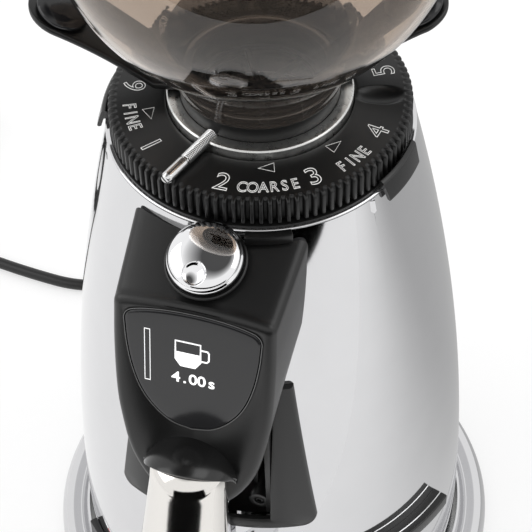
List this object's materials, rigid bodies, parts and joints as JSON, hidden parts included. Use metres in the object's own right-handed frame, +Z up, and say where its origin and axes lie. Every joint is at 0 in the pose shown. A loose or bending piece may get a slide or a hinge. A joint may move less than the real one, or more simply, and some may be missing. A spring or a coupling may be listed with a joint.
{
  "type": "burr coffee grinder",
  "caption": "Electric coffee grinder with a polished bell-shaped housing, toothed grind dial, round tinted hopper, display head, funnel spout and portafilter fork.",
  "frame": {"origin": "on the housing's axis at the surface that the grinder stands on", "axes": "+Z up along the housing's axis; the control head, spout and fork face -Y; +X is the operator's right"},
  "size_m": [0.4441, 0.382, 0.4677],
  "materials": {
    "polished_steel": "mirror polish",
    "zinc_plate": "zinc plated sheet",
    "rubber_black": "matte",
    "black_plastic": "fine moulded grain",
    "head_black": "satin",
    "dial_black": "satin, with white outlined numbers and words",
    "gloss_black": "gloss",
    "grey_plastic": "moulded",
    "cast_aluminium": "as cast",
    "lamination": "stacked sheet, varnished",
    "bright_steel": "turned",
    "black_steel": "blackened",
    "burr_steel": "hardened and ground",
    "satin_nickel": "satin plate",
    "mirror_chrome": "mirror",
    "spout_steel": "brushed along its length",
    "smoke_tint": "clear smoke-brown tint",
    "window_gloss": "gloss, with printed white signs",
    "board_green": "circuit board",
    "rocker_red": "lit translucent red",
    "cord_black": "matte"
  },
  "bodies": {
    "housing": {"rubber_foot_ring": "rubber_black", "base_dish": "polished_steel", "bottom_plate": "zinc_plate", "body_shell": "polished_steel", "side_louvre": "black_plastic", "top_trim_ring": "polished_steel", "cap_ring": "black_plastic", "lower_motor_bell": "cast_aluminium", "upper_motor_bell": "cast_aluminium", "motor_stator": "lamination", "lower_bearing": "bright_steel", "upper_bearing": "bright_steel", "run_capacitor": "grey_plastic", "control_board": "board_green", "grinding_chamber": "cast_aluminium", "carrier_springs": "bright_steel", "head_shell": "head_black", "display_window": "window_gloss", "display_module": "board_green", "knob_encoder": "grey_plastic", "spout_tube": "spout_steel", "spout_hood": "head_black", "outlet_chute": "cast_aluminium", "dial_index_block": "black_plastic", "front_panel": "black_plastic", "fork_rail": "black_plastic", "panel_screws": "black_steel", "switch_bezel": "black_plastic", "cord_gland": "rubber_black", "power_cord": "cord_black", "power_cord_coil": "cord_black", "plug_body": "rubber_black", "plug_pins": "bright_steel"},
    "fork": {"portafilter_fork": "mirror_chrome", "fork_screw": "black_steel"},
    "dial": {"dial_ring": "dial_black", "dial_screws": "black_steel", "burr_carrier": "satin_nickel", "upper_burr": "burr_steel", "upper_burr_screws": "bright_steel", "adjusting_lever": "black_plastic", "lever_pads": "black_plastic"},
    "lock": {"hopper_lock_screw": "bright_steel"},
    "lift": {"spring_seat_ring": "bright_steel"},
    "hopper": {"hopper_bowl": "smoke_tint", "hopper_neck": "smoke_tint", "finger_guard": "black_plastic"},
    "lid": {"hopper_lid": "gloss_black", "lid_skirt": "gloss_black"},
    "rotor": {"drive_shaft": "bright_steel", "rotor_core": "lamination", "cooling_fan": "grey_plastic", "lower_burr_carrier": "cast_aluminium", "lower_burr": "burr_steel", "lower_burr_screws": "bright_steel"},
    "power_rocker": {"power_rocker": "rocker_red"},
    "start_button": {"start_button": "grey_plastic"},
    "knob_shaft": {"knob_shaft": "bright_steel"},
    "jog_knob": {"jog_knob": "mirror_chrome"}
  },
  "joints": [
    {"name": "thread_lift", "type": "slide", "parent": "housing", "child": "lift", "axis": [0, 0, 1], "range_m": [-0.0005, 0.0005], "deforming": ["carrier_springs"]},
    {"name": "dial_turn", "type": "hinge", "parent": "lift", "child": "dial", "pos_m": [0, 0, 0.286], "axis": [0, 0, 1], "range_deg": [-120, 120]},
    {"name": "lock_turn", "type": "hinge", "parent": "dial", "child": "lock", "pos_m": [-0.0148, -0.0425, 0.295], "axis": [-0.3289, -0.9444, 0], "range_deg": [-180, 180]},
    {"name": "hopper_lift", "type": "slide", "parent": "dial", "child": "hopper", "axis": [0, 0, 1], "range_m": [0, 0.08]},
    {"name": "lid_lift", "type": "slide", "parent": "hopper", "child": "lid", "axis": [0, 0, 1], "range_m": [0, 0.05]},
    {"name": "motor_spin", "type": "hinge", "parent": "housing", "child": "rotor", "pos_m": [0, 0, 0.1], "axis": [0, 0, 1], "continuous": true},
    {"name": "rocker_tilt", "type": "hinge", "parent": "housing", "child": "power_rocker", "pos_m": [-0.06391, -0.06618, 0.0305], "axis": [-0.7193, 0.6947, 0], "range_deg": [0, 12]},
    {"name": "start_press", "type": "slide", "parent": "housing", "child": "start_button", "axis": [0, 1, 0], "range_m": [0, 0.0035], "stiffness_N_per_m": 600},
    {"name": "knob_press", "type": "slide", "parent": "housing", "child": "knob_shaft", "axis": [0, 0.342, -0.9397], "range_m": [0, 0.001], "stiffness_N_per_m": 4000, "springref_m": -0.0003},
    {"name": "knob_turn", "type": "hinge", "parent": "knob_shaft", "child": "jog_knob", "pos_m": [0, -0.0747, 0.2723], "axis": [0, -0.342, 0.9397], "continuous": true},
    {"name": "fork_height", "type": "slide", "parent": "housing", "child": "fork", "axis": [0, 0, 1], "range_m": [-0.01, 0.01]}
  ],
  "couplings": [
    {"joint": "thread_lift", "follows": "dial_turn", "m_per_rad": 0.00023873}
  ]
}
